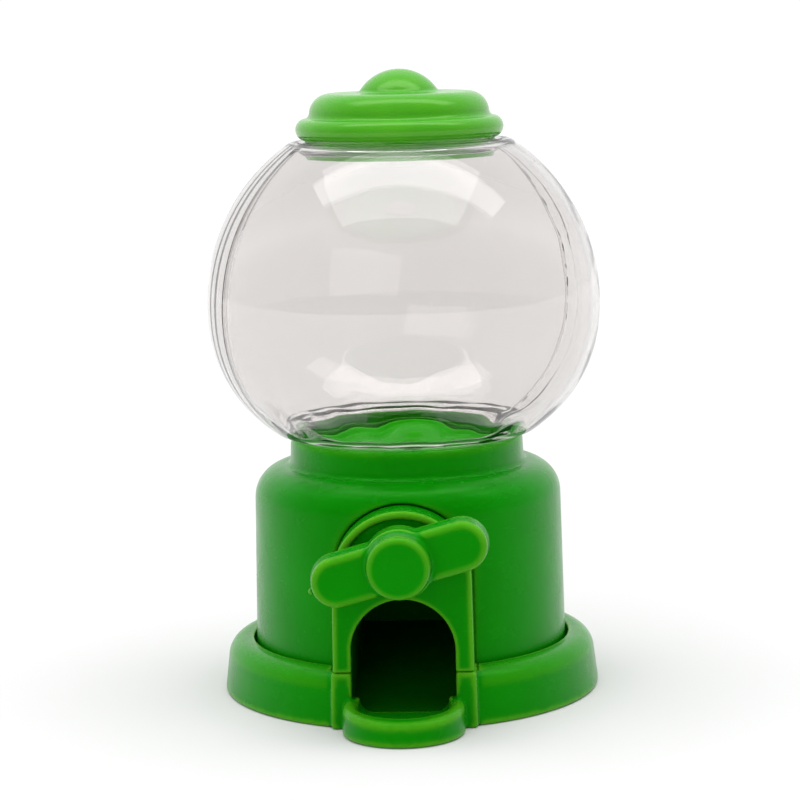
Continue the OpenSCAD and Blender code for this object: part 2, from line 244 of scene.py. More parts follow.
def skin_of(solid, low, high, step):
    """Skin of a solid. Its distance is taken at the points of a grid. Each cell that the skin
    crosses gets one vertex, at the mean of the cuts on the cell's twelve edges, where a cut between
    distances d0 and d1 lies at d0 / (d0 - d1). Each grid edge that is cut joins the four cells round
    it in a face. Then each vertex p moves onto the skin by p -= d n, n being the slope of d."""
    axes = [np.arange(a, b + step, step) for a, b in zip(low, high)]
    d = solid(*np.meshgrid(*axes, indexing="ij"))
    inside = d < 0
    cells = tuple(n - 1 for n in d.shape)
    corners = [(i, j, k) for i in (0, 1) for j in (0, 1) for k in (0, 1)]
    part = {c: tuple(slice(o, o + n) for o, n in zip(c, cells)) for c in corners}
    full = sum(inside[part[c]].astype(np.int8) for c in corners)
    crossed = (full > 0) & (full < 8)
    number = np.full(cells, -1)
    number[crossed] = np.arange(crossed.sum())
    where = np.argwhere(crossed)
    total, hits = np.zeros(where.shape), np.zeros(len(where))
    for c in corners:
        for axis in (k for k in range(3) if c[k] == 0):
            other = tuple(1 if k == axis else c[k] for k in range(3))
            d0, d1 = d[part[c]][crossed], d[part[other]][crossed]
            hit = (d0 < 0) != (d1 < 0)
            t = np.where(hit, d0 / np.where(hit, d0 - d1, 1), 0)
            cut_at = where + np.array(c)
            cut_at = cut_at + t[:, None] * np.eye(3)[axis]
            total += cut_at * hit[:, None]
            hits += hit
    points = np.array([a[0] for a in axes]) + step * total / hits[:, None]
    faces = []
    for axis in range(3):
        u, v = (axis + 1) % 3, (axis + 2) % 3
        this, beyond = [slice(1, -1)] * 3, [slice(1, -1)] * 3
        this[axis], beyond[axis] = slice(0, -1), slice(1, None)
        this, beyond = tuple(this), tuple(beyond)
        edges = np.argwhere(inside[this] != inside[beyond])
        leaving = inside[this][tuple(edges.T)]
        edges += np.array([0 if k == axis else 1 for k in range(3)])
        around = []
        for du, dv in ((1, 1), (0, 1), (0, 0), (1, 0)):
            cell = edges.copy()
            cell[:, u] -= du
            cell[:, v] -= dv
            around.append(number[tuple(cell.T)])
        face = np.stack(around, 1)
        face[~leaving] = face[~leaving][:, ::-1]
        faces.append(face)
    small = 0.02
    for _ in range(3):
        slope = slope_of(solid, points, small)
        points = points - solid(*points.T)[:, None] * slope
    return points, np.vstack(faces), slope_of(solid, points, small)


def slope_of(solid, points, small):
    """Direction in which the distance grows, from its change over a small step each way."""
    rise = [solid(*(points + s).T) - solid(*(points - s).T) for s in small * np.eye(3)]
    slope = np.stack(rise, 1)
    return slope / np.maximum(np.linalg.norm(slope, axis=1, keepdims=True), 1e-9)


# ---- From a skin to a piece -----------------------------------------------------------------

# Painted light: this mask marks convex edges, where a lighter colour stands in for light shining through
# the thin plastic.
def painted_edge_light(mesh, passes):
    """Vertex value from 0 to 1 that is high on convex edges. It starts as the sum over a vertex's
    edges of (n1 - n0) . (p1 - p0), over their sum of |p1 - p0|^2, which is about half of
    1 / radius on a round edge. Each pass mixes it half and half with the mean of its neighbours."""
    count = len(mesh.vertices)
    pairs, at = np.zeros(2 * len(mesh.edges), int), np.zeros(3 * count)
    normal = np.zeros(3 * count)
    mesh.edges.foreach_get("vertices", pairs)
    mesh.vertices.foreach_get("co", at)
    mesh.vertex_normals.foreach_get("vector", normal)
    a, b = pairs.reshape(-1, 2).T
    at, normal = at.reshape(-1, 3) / MM, normal.reshape(-1, 3)
    step, bend = at[b] - at[a], normal[b] - normal[a]
    ends = np.concatenate([a, b])
    degree = np.maximum(np.bincount(ends, minlength=count), 1)
    turned, length = (np.tile((step * other).sum(1), 2) for other in (bend, step))
    value = np.bincount(ends, turned, count) / np.maximum(np.bincount(ends, length, count), 1e-6)
    limit, gain, flat = 0.6, 2.4, 0.1
    value = np.clip(value, -limit, limit)
    for _ in range(passes):
        value = (value + np.bincount(ends, np.concatenate([value[b], value[a]]), count) / degree) / 2
    layer = mesh.attributes.new("painted_edge_light", "FLOAT", "POINT")
    layer.data.foreach_set("value", np.clip(value * gain - flat, 0, 1).astype(np.float32))


def outward(points, faces):
    """The faces turned so that the skin's volume, a sixth of the sum of p0 . (p1 x p2), is positive."""
    p = points[faces]
    first = np.einsum("ij,ij->i", p[:, 0], np.cross(p[:, 1], p[:, 2]))
    second = np.einsum("ij,ij->i", p[:, 0], np.cross(p[:, 2], p[:, 3]))
    return faces if (first + second).sum() > 0 else faces[:, ::-1]


def make_piece(name, skin, body, material, stands_for, normals=None, passes=4, sharp=38):
    """A mesh object with its place in its mesh, smooth but for edges sharper than the angle given."""
    points, faces = skin
    mesh = bpy.data.meshes.new(name)
    mesh.from_pydata((points * MM).tolist(), [], outward(points, faces).tolist())
    mesh.polygons.foreach_set("use_smooth", np.ones(len(mesh.polygons), bool))
    if normals is None:
        work = bmesh.new()
        work.from_mesh(mesh)
        bmesh.ops.remove_doubles(work, verts=work.verts, dist=1e-7)
        work.to_mesh(mesh)
        work.free()
        mesh.set_sharp_from_angle(angle=math.radians(sharp))
    else:
        mesh.normals_split_custom_set_from_vertices(normals.tolist())
    if passes:
        painted_edge_light(mesh, passes)
    mesh.materials.append(material)
    piece = bpy.data.objects.new(name, mesh)
    bpy.context.scene.collection.objects.link(piece)
    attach(piece, body)
    if stands_for:
        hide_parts(*stands_for)
    return piece


# ---- Pieces ---------------------------------------------------------------------------------

def arch(x, z, half, mid):
    """Distance to an arch: round above mid, with legs that run straight down below it."""
    return np.hypot(x, np.maximum(z - mid, 0)) - half


def base_solid(x, y, z):
    """Base in one moulding: ring with a rounded shoulder, seat for the body, block and tray lip.
    The tray's floor rises towards the opening and drops again behind the block's front."""
    r = np.hypot(x, y)
    side_draft, block_draft, lip_draft, rim_fall = 0.125, 0.02, 0.05, 0.085
    shell = meet(r - base_r + side_draft * z, z - base_h, ring_round)
    ring = meet(shell, ring_in - r, 0.5)
    seat = meet(between(r, seat_in, ring_in + wall), between(z, seat_z - seat_t, seat_z), 0.2)
    ring = join(ring, seat, 0)
    ring = cut(ring, meet(shell + base_wall, ring_in + wall - r, 0.4), 0)
    ring = cut(ring, meet(r - ring_in - wall - 0.2, z - seat_z + seat_t, 0), 0)
    block = meet(np.abs(x) - block_w + block_draft * z, -y - block_y + block_draft * z, 0.9)
    block = meet(block, z - block_top, 0.7)
    block = meet(block, y + block_in, 0.3)
    front = meet(np.abs(x) - block_w, y + block_in, 0)
    solid = join(cut(ring, front, 0), block, 0.35)
    outline = np.hypot(x, np.minimum(y + lip_y, 0))
    rim = z - rim_z + rim_fall * np.maximum(-y - block_y, 0)
    lip = meet(meet(outline - lip_r + lip_draft * z, rim, 1.35), y + block_y - 2.7, 0)
    solid = join(solid, lip, 0.5)
    rise_y, rise_run, drop_y, drop_run = 42, 7.5, 33.6, 0.9
    climb = np.clip((y + rise_y) / rise_run, 0, 1) * np.clip((-drop_y - y) / drop_run, 0, 1)
    floor = tray_z + tray_rise * climb
    bowl_squash = 0.86
    bowl = meet(np.hypot(bowl_squash * x, np.minimum(y + lip_y, 0)) - bowl_r, floor - z, 2.6)
    solid = cut(solid, meet(bowl, y + 20, 0), 1.5)
    slot = meet(np.abs(x) - chute_w, between(-y, 15, block_y + 1.6), 0)
    wide = meet(np.abs(x) - chute_w - 1.35, between(-y, 20, block_y - 2.7), 0)
    solid = cut(solid, meet(slot, slot_z - z, 0.5), 0.4)
    solid = cut(solid, meet(wide, floor - z, 0.2), 0.4)
    for turn in np.radians(plate_post_turns):
        post = np.hypot(x - plate_post_r * math.cos(turn), y - plate_post_r * math.sin(turn))
        solid = join(solid, meet(post - 2.4, between(z, 2.6, 6), 0.2), 0)
        solid = cut(solid, meet(post - 1.2, z - 5.2, 0), 0)
    return meet(solid, -z, 0.8)


def make_base(material):
    """Base moulding, from a grid that reaches a little past its box."""
    points, faces, normals = skin_of(base_solid, base_low - 0.63, base_high + 0.63, 0.42)
    make_piece("base_moulding", (points, faces), "housing", material, ["base"], normals, 3)


def panel_solid(x, y, z):
    """Arched panel: rounded front edge, well behind the handle with a bead round it, chute opening,
    hollow back, bearing boss and two screw tabs."""
    well_low, well_r, boss_r, boss_back = 32.2, 4.7, 5.5, 29
    tab_x, tab_z = 17, 24
    outline = arch(x, z, panel_w + 0.012 * np.maximum(arch_z - z, 0), arch_z)
    solid = meet(outline, -y - panel_y, 0.75)
    solid = meet(meet(solid, y + panel_back, 0.2), block_top + 0.12 - z, 0.25)
    solid = cut(solid, meet(outline + 1.6, -y - panel_y + 2.4, 0.3), 0)
    well = meet(meet(outline + 1.45, well_low - z, 0.4), y + panel_y - 1, 0.25)
    round_well = rod(x, y, z, well_r, panel_y + 5, panel_y - 1)
    solid = cut(solid, join(well, round_well, 0), 0.45)
    solid = join(solid, rod(x, y, z, boss_r, panel_y - 1.2, boss_back, edge=0.2), 0)
    solid = cut(solid, arch(x, z, chute_w, chute_arch_z), 0.3)
    for side in (-1, 1):
        strap = box_solid(side * x, y, z, (11.8, -26.5, 20.5), (13.4, -19.1, 27.5), 0.3)
        tab = box_solid(side * x, y, z, (12.9, -20.6, 20.5), (19.6, -19, 27.5), 0.3)
        tab = cut(tab, np.hypot(side * x - tab_x, z - tab_z) - 1.4, 0.1)
        solid = join(solid, join(strap, tab, 0.3), 0)
    return cut(solid, np.hypot(x, z - axis_z) - 2.55, 0.1)


def make_panel(material):
    """Panel moulding, on a finer grid than the base for its bead and rims."""
    points, faces, normals = skin_of(panel_solid, panel_low - 0.6, panel_high + 0.6, 0.3)
    make_piece("panel_moulding", (points, faces), "housing", material,
               ["front_panel"], normals, 4)


def handle_solid(x, y, z):
    """Handle: two drafted arms with rounded edges, hub, knob and stem, bored for spindle and screw."""
    u = x * math.cos(handle_tilt) + (z - axis_z) * math.sin(handle_tilt)
    v = -x * math.sin(handle_tilt) + (z - axis_z) * math.cos(handle_tilt)
    arm_front, arm_back = 45.0, 39.5
    stem_r, plug_bore_r, spindle_bore_r, flat, screw_bore_r = 4.4, 3.3, 2.5, 1.9, 1.4
    half = arm_w - 0.35 + 0.09 * (arm_front + y)
    arms = np.hypot(np.maximum(np.abs(u) - arm_half + arm_w, 0), v) - half
    solid = meet(arms, between(-y, arm_back, arm_front), 1.15)
    draft = 0.16 * np.clip(cap_back + y, 0, 2.5)
    solid = join(solid, rod(x, y, z, hub_r, arm_front - 0.3, arm_back, edge=0.5), 0.5)
    solid = join(solid, rod(x, y, z, knob_r + draft, cap_back, arm_back + 1), 0.5)
    solid = join(solid, rod(x, y, z, stem_r, arm_back + 1, stem_back, edge=0.2), 0.3)
    nub = np.sqrt((u + arm_half + 0.1) ** 2 + (v + 0.6) ** 2 + (y + 42.4) ** 2) - 0.62
    solid = join(solid, nub, 0.25)
    solid = cut(solid, rod(x, y, z, plug_bore_r, 60, 44.2), 0.1)
    bore = meet(rod(x, y, z, spindle_bore_r, 43, 20), x - flat, 0)
    return cut(solid, join(bore, rod(x, y, z, screw_bore_r, 45, 40), 0), 0.1)


def make_handle(material):
    """Handle moulding, at the finest grid, as it stands in front."""
    points, faces, normals = skin_of(handle_solid, handle_low - 0.9, handle_high + 0.9, 0.26)
    make_piece("handle_moulding", (points, faces), "rotor", material,
               ["handle"], normals, 4)


def make_knob_cap(material):
    """Knob's front: a disc with a rounded edge and a slight crown, and a plug behind it, turned
    about the handle's axis. The outline is (distance from the axis, distance in front)."""
    plug_r, plug_length = 3.2, 1.6
    edge = arc(knob_r - 1.05, knob_y - 1.15, 1.05, 90, 0)
    outline = np.vstack([[(0, knob_y)], [(3, knob_y - 0.03)], edge, [(knob_r, cap_back)],
                         [(plug_r, cap_back)], [(plug_r, cap_back - plug_length)],
                         [(0, cap_back - plug_length)]])
    points, faces = spin(soften(outline, 0.12, 0.16, on_axis=True), 128, closed=False)
    points = np.stack([points[:, 0], -points[:, 2], points[:, 1] + axis_z], 1)
    make_piece("knob_front", (points, faces), "rotor", material, ["knob_cap"], passes=5)


def body_outline():
    """Body's section: foot, side, rounded shoulder, collar with its lip, and back down inside."""
    mid_r, mid_z = body_top_r - shoulder_r, shoulder_z - shoulder_r
    return np.vstack([
        [(body_foot_r, seat_z)],
        arc(mid_r, mid_z, shoulder_r, 0, 90, 30),
        arc(collar_r + 1.15, shoulder_z + 1, 1, 270, 180),
        arc(collar_r - 1.3, collar_z - 1.3, 1.3, 0, 90),
        [(collar_lip + 0.3, collar_z), (collar_lip, collar_z - 0.3), (collar_lip, 50)],
        [(neck_bore, 50), (neck_bore, shoulder_z - wall)],
        arc(mid_r, mid_z, shoulder_r - wall, 90, 0, 20),
        [(body_foot_r - wall, seat_z)]])


def body_skin():
    """Body's wall on a grid of section by turn, open at the front where the panel fits. Below the
    arch's top a row starts at the turn asin(w / r), w being the arch's half width at that height,
    and inner rows match outer ones, so that strips between them close the cut. Near the cut the
    skin draws in by e - sqrt(e^2 - (e - d)^2), d being the distance to the arch, to round its edge."""
    half, top = panel_w + gap, panel_top + gap
    path = soften(body_outline(), 0.3, 0.3)
    turn_row = np.argmax(path[:, 1])
    outer, inner = path[:turn_row], path[turn_row:]
    out_top = np.argmax(outer[:, 1] > top)
    in_top = len(inner) - np.argmax(inner[::-1, 1] > top)
    low_rows, crowding = 75, 1.6
    level = top - (top - seat_z) * np.linspace(1, 0, low_rows) ** crowding
    low_out = np.stack([np.interp(level, outer[:out_top + 2, 1], outer[:out_top + 2, 0]), level], 1)
    inside = inner[in_top - 2:][::-1]
    low_in = np.stack([np.interp(level, inside[:, 1], inside[:, 0]), level], 1)[::-1]
    above = path[out_top:turn_row + in_top]
    dense = evenly(np.vstack([low_out[-1:], above[:4]]), 0.12)[1:-1]
    section = np.vstack([low_out, dense, above[3:], low_in])
    r, z = section[:, :1], section[:, 1:]
    width = np.sqrt(np.clip(half ** 2 - np.maximum(z - arch_z, 0) ** 2, 0, None))
    edge, near_columns, even_step = 0.7, 6, 0.85
    near = edge * (1 - np.cos(np.linspace(0, np.pi / 2, near_columns)))
    near = near + (even_step * np.arange(near_columns) - near) * (1 - np.clip(width / 4, 0, 1))
    first = np.arcsin(np.clip((width + near) / r, 0, 1))
    even_columns = 110
    rest = first[:, -1:] + (np.pi - first[:, -1:]) * np.linspace(0, 1, even_columns)[1:]
    side = np.hstack([first, rest])
    turn = np.hstack([side, 2 * np.pi - side[:, -2::-1]])
    x = r * np.sin(turn)
    away = np.hypot(x, np.maximum(z - arch_z, 0)) - half
    front = (np.cos(turn) > 0) & (z > seat_z + 0.5)
    d = np.clip(np.where(front, away, edge), 0, edge)
    draw = edge - np.sqrt(edge ** 2 - (edge - d) ** 2)
    outside = np.arange(len(section))[:, None] < len(low_out) + len(dense) + 12
    r = r - np.where(outside, 0.75 * draw, 0)
    points = np.stack([r * np.sin(turn), -r * np.cos(turn), z + 0 * turn], -1)
    rows, columns = turn.shape
    number = np.arange(rows * columns).reshape(rows, columns)
    count = len(low_out)
    strips = []
    for column in (0, columns - 1):
        lower, upper = number[:count, column], number[::-1][:count, column]
        strip = np.stack([lower[:-1], lower[1:], upper[1:], upper[:-1]], 1)
        strips.append(strip if column else strip[:, ::-1])
    faces = np.vstack([quads(rows, columns, round_rows=True)] + [s[:, ::-1] for s in strips])
    return points.reshape(-1, 3), faces


def make_body(material):
    """Body: its wall, four screw posts up from the seat and three under the shoulder."""
    parts = [body_skin()]
    for turn in np.radians(body_post_turns):
        x, y = body_post_r * math.cos(turn), body_post_r * math.sin(turn)
        parts.append(tube(x, y, seat_z + 0.1, 34, 2.6, 1.2))
    for turn in np.radians(hopper_post_turns):
        x, y = hopper_post_r * math.cos(turn), hopper_post_r * math.sin(turn)
        parts.append(tube(x, y, ear_top, 44, 2.5, 1.2))
    make_piece("body_moulding", together(parts), "housing", material, ["body_shell"])


def make_hopper(material):
    """Funnel under the globe: ring wall, sloping floor down to the drop hole, ears and lugs."""
    outline = np.array([(20.2, 37), (21.6, 37), (21.6, 48.2), (19.4, 48.3), (19.1, 49.7), (18.4, 49.7),
                        (17.4, 48.5), (12, 47.2), (7.2, 46), (5.5, 44.9), (5.5, 44.3), (7, 44.3),
                        (12, 45.1), (20.2, 46.6)])
    parts = [spin(soften(outline, 0.25, 0.3, closed=True), 144)]
    for turn in np.radians(hopper_post_turns):
        x, y = ear_r * math.cos(turn), ear_r * math.sin(turn)
        parts.append(tube(x, y, ear_low, ear_top, 3, 1.4))
    for side in (-drum_lug_x, drum_lug_x):
        parts.append(tube(side, 0, 35, 45.2, 2.4, 1.2))
    make_piece("hopper_moulding", together(parts), "housing", material, ["hopper"])


def make_lid(material):
    """Lid: plug, rolled rim, dome with a rounded shoulder and a button, all one thin moulding."""
    tube_r, dome_r, shoulder, dome_z, button_r = 2.23, 18.0, 4.2, lid_top - 4.6, 7.8
    roll_z, thick = 113.35, 1.6
    plug_end = lid_low[2] + 0.7
    rise = lid_top - dome_z - 0.35
    cap_r = (button_r ** 2 + rise ** 2) / (2 * rise)
    foot = math.degrees(math.asin((cap_r - rise) / cap_r))
    outline = np.vstack([
        arc(0, lid_top - cap_r, cap_r, 90, foot, 30),
        [(button_r + 0.9, dome_z + 0.02)],
        arc(dome_r - shoulder, dome_z - shoulder, shoulder, 90, 0, 24),
        [(dome_r + 0.12, roll_z + tube_r + 0.5), (dome_r + 0.5, roll_z + tube_r - 0.02)],
        arc(rim_r - tube_r, roll_z, tube_r, 70, -75, 30),
        [(mouth_r - 0.1, 111.1), (mouth_r - 0.1, 107.6), (mouth_r - 0.4, plug_end)],
        [(17.3, plug_end), (17.3, 112), (dome_r - thick, 113.2)],
        arc(dome_r - shoulder, dome_z - shoulder, shoulder - thick, 0, 90, 16),
        arc(0, lid_top - cap_r, cap_r - thick, foot + 4, 90, 16)])
    skin = spin(soften(outline, 0.24, 0.28, on_axis=True), 180, closed=False)
    make_piece("lid_moulding", skin, "lid", material, ["lid"], passes=5)


def globe_side(inset, low, high):
    """Globe's section drawn in by an inset. Below its widest height it is r = R cos(a)^(2/p),
    z = -H sin(a)^(2/p) with p a little over 2, and above it an ellipse; a is in degrees."""
    power = 2.2
    down = np.radians(np.linspace(low, 0, 60))
    up = np.radians(np.linspace(0, high, 60))[1:]
    lower = np.stack([(globe_r - inset) * np.cos(down) ** (2 / power),
                      globe_z - (globe_down - inset) * np.sin(down) ** (2 / power)], 1)
    upper = np.stack([(globe_r - inset) * np.cos(up), globe_z + (globe_up - inset) * np.sin(up)], 1)
    return np.vstack([lower, upper])


def half_globe(rear):
    """Half of the globe, on one side of the upright plane through its axis. A point is found by its
    place along the section, its turn, and its depth in the wall from 0 outside to 1 inside. The
    front half keeps the wall's outer part within a lap's width of the plane, and the rear half's
    inner part reaches as far past it; at one end the lap's edge wanders, as a bonded joint does.
    Inside, ribs run up beside the seam, each as high as h exp(-d^2 / 2 w^2), d being the distance
    to its middle, and near the neck the wall is uneven by three waves of the turn."""
    outer = np.vstack([[(bead_r, 48.4), (bead_r, 49.8), (neck_r, 50.1), (neck_r, 51.9)],
                       [(22.2, 52.25)], globe_side(0, 50.9, 56.5), [(20.4, 110.2), (20.4, mouth_top)]])
    inner = np.vstack([[(neck_r - glass_t, 48.4), (neck_r - glass_t, 52.4), (21.3, 53.4)],
                       globe_side(glass_t, 49.5, 56.5), [(mouth_r, 107.6), (mouth_r, mouth_top)]])
    outer, inner = soften(outer, 0.35, 0.2), soften(inner, 0.8, 0.2)
    rows, end_columns, mid_columns = 200, 45, 52
    at = np.linspace(0, 1, rows)
    outer, inner = (np.stack([np.interp(at, np.linspace(0, 1, len(p)), p[:, k]) for k in (0, 1)], 1)
                    for p in (outer, inner))
    wander = 0.16 * np.sin(at * 23) + 0.12 * np.sin(at * 61 + 1) + 0.07 * np.sin(at * 140)
    lap, slit = lap_w / globe_r, half_slit / globe_r
    left_lap = lap + 0 * at[:, None]
    right_lap = lap + wander[:, None] / globe_r
    share = np.concatenate([np.linspace(0, 0.1, end_columns), np.linspace(0.1, 0.9, mid_columns)[1:-1],
                            np.linspace(0.9, 1, end_columns)])
    start, end = (slit, np.pi - slit) if rear else (0, np.pi)
    across = start + (end - start) * share + 0 * at[:, None]
    if rear:
        low_turn, high_turn = slit - right_lap, np.pi + left_lap - slit
    else:
        low_turn, high_turn = left_lap, np.pi - right_lap
    back = (low_turn + (high_turn - low_turn) * share)[:, ::-1]
    turns = np.hstack([across, across[:, -1:], high_turn, back, low_turn, across[:, :1]])
    middle = 0.515 if rear else 0.485
    count = len(share)
    depth = np.concatenate([np.zeros(count), [middle, middle], np.ones(count), [middle, middle]])
    depth = depth + 0 * turns
    rib_w, swell_z, swell_w = 0.6, 54, 3
    ribs = ((1.9, 0.12), (6.5, 0.24), (10.1, 0.24)) if rear else ((6.5, 0.16),)
    from_seam = (np.pi - turns) * globe_r
    thick = sum(h * np.exp(-0.5 * ((from_seam - place) / rib_w) ** 2) for place, h in ribs)
    angle = turns + seam_turn + (0 if rear else np.pi)
    swell = 0.12 * np.sin(5 * angle + 3) + 0.12 * np.sin(9 * angle + 2) + 0.1 * np.sin(16 * angle)
    swell = swell * np.exp(-((outer[:, 1:] - swell_z) / swell_w) ** 2)
    thick = thick * np.sin(np.pi * at[:, None]) ** 0.5 + swell
    depth += np.where(depth > 0.9, thick / glass_t, 0)
    r = outer[:, :1] + (inner[:, :1] - outer[:, :1]) * depth
    z = outer[:, 1:] + (inner[:, 1:] - outer[:, 1:]) * depth
    points = np.stack([r * np.cos(angle), r * np.sin(angle), z], -1)
    columns = turns.shape[1]
    faces = [quads(rows, columns, round_columns=True)]
    for row in (0, rows - 1):
        number = row * columns + np.arange(columns)
        out, into = number[:count], number[count + 2:2 * count + 2][::-1]
        ends = np.stack([out[:-1], out[1:], into[1:], into[:-1]], 1)
        left_end = [[number[0], into[0], number[-2], number[-1]]]
        right_end = [[out[-1], number[count], number[count + 1], into[-1]]]
        cap = np.vstack([ends, left_end, right_end])
        faces.append(cap if row else cap[:, ::-1])
    return points.reshape(-1, 3), np.vstack(faces)


def make_globe(material):
    """Both halves of the globe. The glass has no painted_edge_light, so it is given no passes."""
    for name, rear in (("globe_front_half", False), ("globe_rear_half", True)):
        node = "globe_rear" if rear else "globe_front"
        make_piece(name, half_globe(rear), "globe", material, [node], passes=0, sharp=30)


# ---- Materials ------------------------------------------------------------------------------

def new_group(name, inputs, outputs):
    """Shader node group with named inputs (name, kind, value) and outputs (name, kind)."""
    group = bpy.data.node_groups.new(name, "ShaderNodeTree")
    for label, kind, value in inputs:
        socket = group.interface.new_socket(label, in_out="INPUT", socket_type="NodeSocket" + kind)
        socket.default_value = value
    for label, kind in outputs:
        group.interface.new_socket(label, in_out="OUTPUT", socket_type="NodeSocket" + kind)
    return group, group.nodes.new("NodeGroupInput"), group.nodes.new("NodeGroupOutput")


def node(tree, kind, links=(), **values):
    """A shader node with its settings, its socket values and its links from other sockets."""
    made = tree.nodes.new("ShaderNode" + kind)
    for key, value in values.items():
        if hasattr(made, key):
            setattr(made, key, value)
        else:
            made.inputs[key.replace("_", " ")].default_value = value
    for source, target in links:
        tree.links.new(source, made.inputs[target])
    return made


def noise(tree, scale, detail=2.0, rough=0.5, stretch=(1, 1, 1), shift=(0, 0, 0)):
    """Noise on Object coordinates, with a scale in waves per millimetre."""
    where = node(tree, "TexCoord")
    size = tuple(s * scale / MM for s in stretch)
    turned = node(tree, "Mapping", [(where.outputs["Object"], "Vector")], Scale=size, Location=shift)
    return node(tree, "TexNoise", [(turned.outputs["Vector"], "Vector")], Scale=1.0, Detail=detail,
                Roughness=rough).outputs["Fac"]


def spread(tree, value, low, high, to_low=0.0, to_high=1.0):
    """A value's range from low to high taken to another range, and held there."""
    return node(tree, "MapRange", [(value, "Value")], From_Min=low, From_Max=high, To_Min=to_low,
                To_Max=to_high).outputs["Result"]


def blend_colours(tree, share, first, second):
    """Two colours mixed by a share, each a socket or four numbers."""
    mix = tree.nodes.new("ShaderNodeMix")
    mix.data_type, mix.clamp_factor = "RGBA", True
    for value, socket in ((share, mix.inputs[0]), (first, mix.inputs[6]), (second, mix.inputs[7])):
        if isinstance(value, bpy.types.NodeSocket):
            tree.links.new(value, socket)
        else:
            socket.default_value = value
    return mix.outputs[2]


def moulded_colour_and_edge_light():
    """Colour of a moulding: cloudy pigment, painted light on convex edges, where a lighter colour
    stands in for light shining through the thin plastic, and faint flow streaks that run up from the gate."""
    group, given, made = new_group(
        "moulded_colour_and_edge_light",
        [("Base", "Color", (0, 0.3, 0, 1)), ("Deep", "Color", (0, 0.2, 0, 1)),
         ("Glow", "Color", (0.2, 0.6, 0, 1)), ("Edge", "Float", 0.0), ("Glow amount", "Float", 0.6)],
        [("Color", "Color")])
    cloud = spread(group, noise(group, 0.09, 3), 0.32, 0.68)
    colour = blend_colours(group, cloud, given.outputs["Base"], given.outputs["Deep"])
    streak = spread(group, noise(group, 0.5, 2, stretch=(1, 1, 0.12)), 0.45, 0.8, 0.0, 0.22)
    colour = blend_colours(group, streak, colour, given.outputs["Base"])
    # Painted light: the Glow colour goes in where the edge mask is high, standing in for light shining
    # through thin edges.
    share = node(group, "Math", [(given.outputs["Edge"], 0), (given.outputs["Glow amount"], 1)],
                 operation="MULTIPLY").outputs[0]
    colour = blend_colours(group, share, colour, given.outputs["Glow"])
    group.links.new(colour, made.inputs["Color"])
    return group


def handled_finish():
    """Finish of a handled plastic surface: roughness with cloudy rubbing and fine scuffs, and the
    height of a slight waviness with a finer texture and the scuffs' grooves."""
    group, given, made = new_group(
        "handled_finish",
        [("Roughness", "Float", 0.3), ("Rubbing", "Float", 0.1), ("Scuffs", "Float", 0.1)],
        [("Roughness", "Float"), ("Height", "Float")])
    cloud = spread(group, noise(group, 0.16, 4), 0.3, 0.7, -1.0, 1.0)
    rubbed = node(group, "Math", [
        (cloud, 0), (given.outputs["Rubbing"], 1), (given.outputs["Roughness"], 2)],
        operation="MULTIPLY_ADD").outputs[0]
    lines = noise(group, 1.1, 3, 0.6, stretch=(0.25, 0.25, 1.6), shift=(3, 7, 1))
    scuff = spread(group, lines, 0.62, 0.72)
    patch = spread(group, noise(group, 0.07, 1, shift=(9, 2, 5)), 0.48, 0.62)
    scuff = node(group, "Math", [(scuff, 0), (patch, 1)], operation="MULTIPLY").outputs[0]
    rough = node(group, "Math", [(scuff, 0), (given.outputs["Scuffs"], 1), (rubbed, 2)],
                 operation="MULTIPLY_ADD").outputs[0]
    wave = noise(group, 0.22, 1, shift=(1, 4, 8))
    fine = noise(group, 2.6, 2)
    height = node(group, "Math", [(fine, 0), (wave, 2)], operation="MULTIPLY_ADD")
    height.inputs[1].default_value = 0.035
    grooved = node(group, "Math", [(scuff, 0), (height.outputs[0], 2)], operation="MULTIPLY_ADD")
    grooved.inputs[1].default_value = -0.03
    group.links.new(rough, made.inputs["Roughness"])
    group.links.new(grooved.outputs[0], made.inputs["Height"])
    return group


def new_material(name):
    """An empty node material with its output; gives the material and its node tree."""
    material = bpy.data.materials.new(name)
    material.use_nodes = True
    material.node_tree.nodes.clear()
    return material, material.node_tree


def plastic(name, base, deep, glow, groups, roughness=0.25, rubbing=0.04, scuffs=0.12, glow_amount=0.65,
            tint=(0.1, 1, 0.06, 1), level=0.32):
    """Moulded plastic: the colour and finish groups on a Principled shader."""
    material, tree = new_material(name)
    # Mask of the painted light on convex edges.
    edge = node(tree, "Attribute", attribute_name="painted_edge_light")
    colour = tree.nodes.new("ShaderNodeGroup")
    colour.node_tree = groups["colour"]
    for label, value in (("Base", base), ("Deep", deep), ("Glow", glow), ("Glow amount", glow_amount)):
        colour.inputs[label].default_value = value
    tree.links.new(edge.outputs["Fac"], colour.inputs["Edge"])
    finish = tree.nodes.new("ShaderNodeGroup")
    finish.node_tree = groups["finish"]
    for label, value in (("Roughness", roughness), ("Rubbing", rubbing), ("Scuffs", scuffs)):
        finish.inputs[label].default_value = value
    relief = node(tree, "Bump", [(finish.outputs["Height"], "Height")], Strength=0.12, Distance=0.0004)
    shader = node(tree, "BsdfPrincipled", [
        (colour.outputs["Color"], "Base Color"), (finish.outputs["Roughness"], "Roughness"),
        (relief.outputs["Normal"], "Normal")])
    shader.inputs["IOR"].default_value = 1.5
    shader.inputs["Specular IOR Level"].default_value = level
    shader.inputs["Specular Tint"].default_value = tint
    node(tree, "OutputMaterial", [(shader.outputs["BSDF"], "Surface")])
    return material


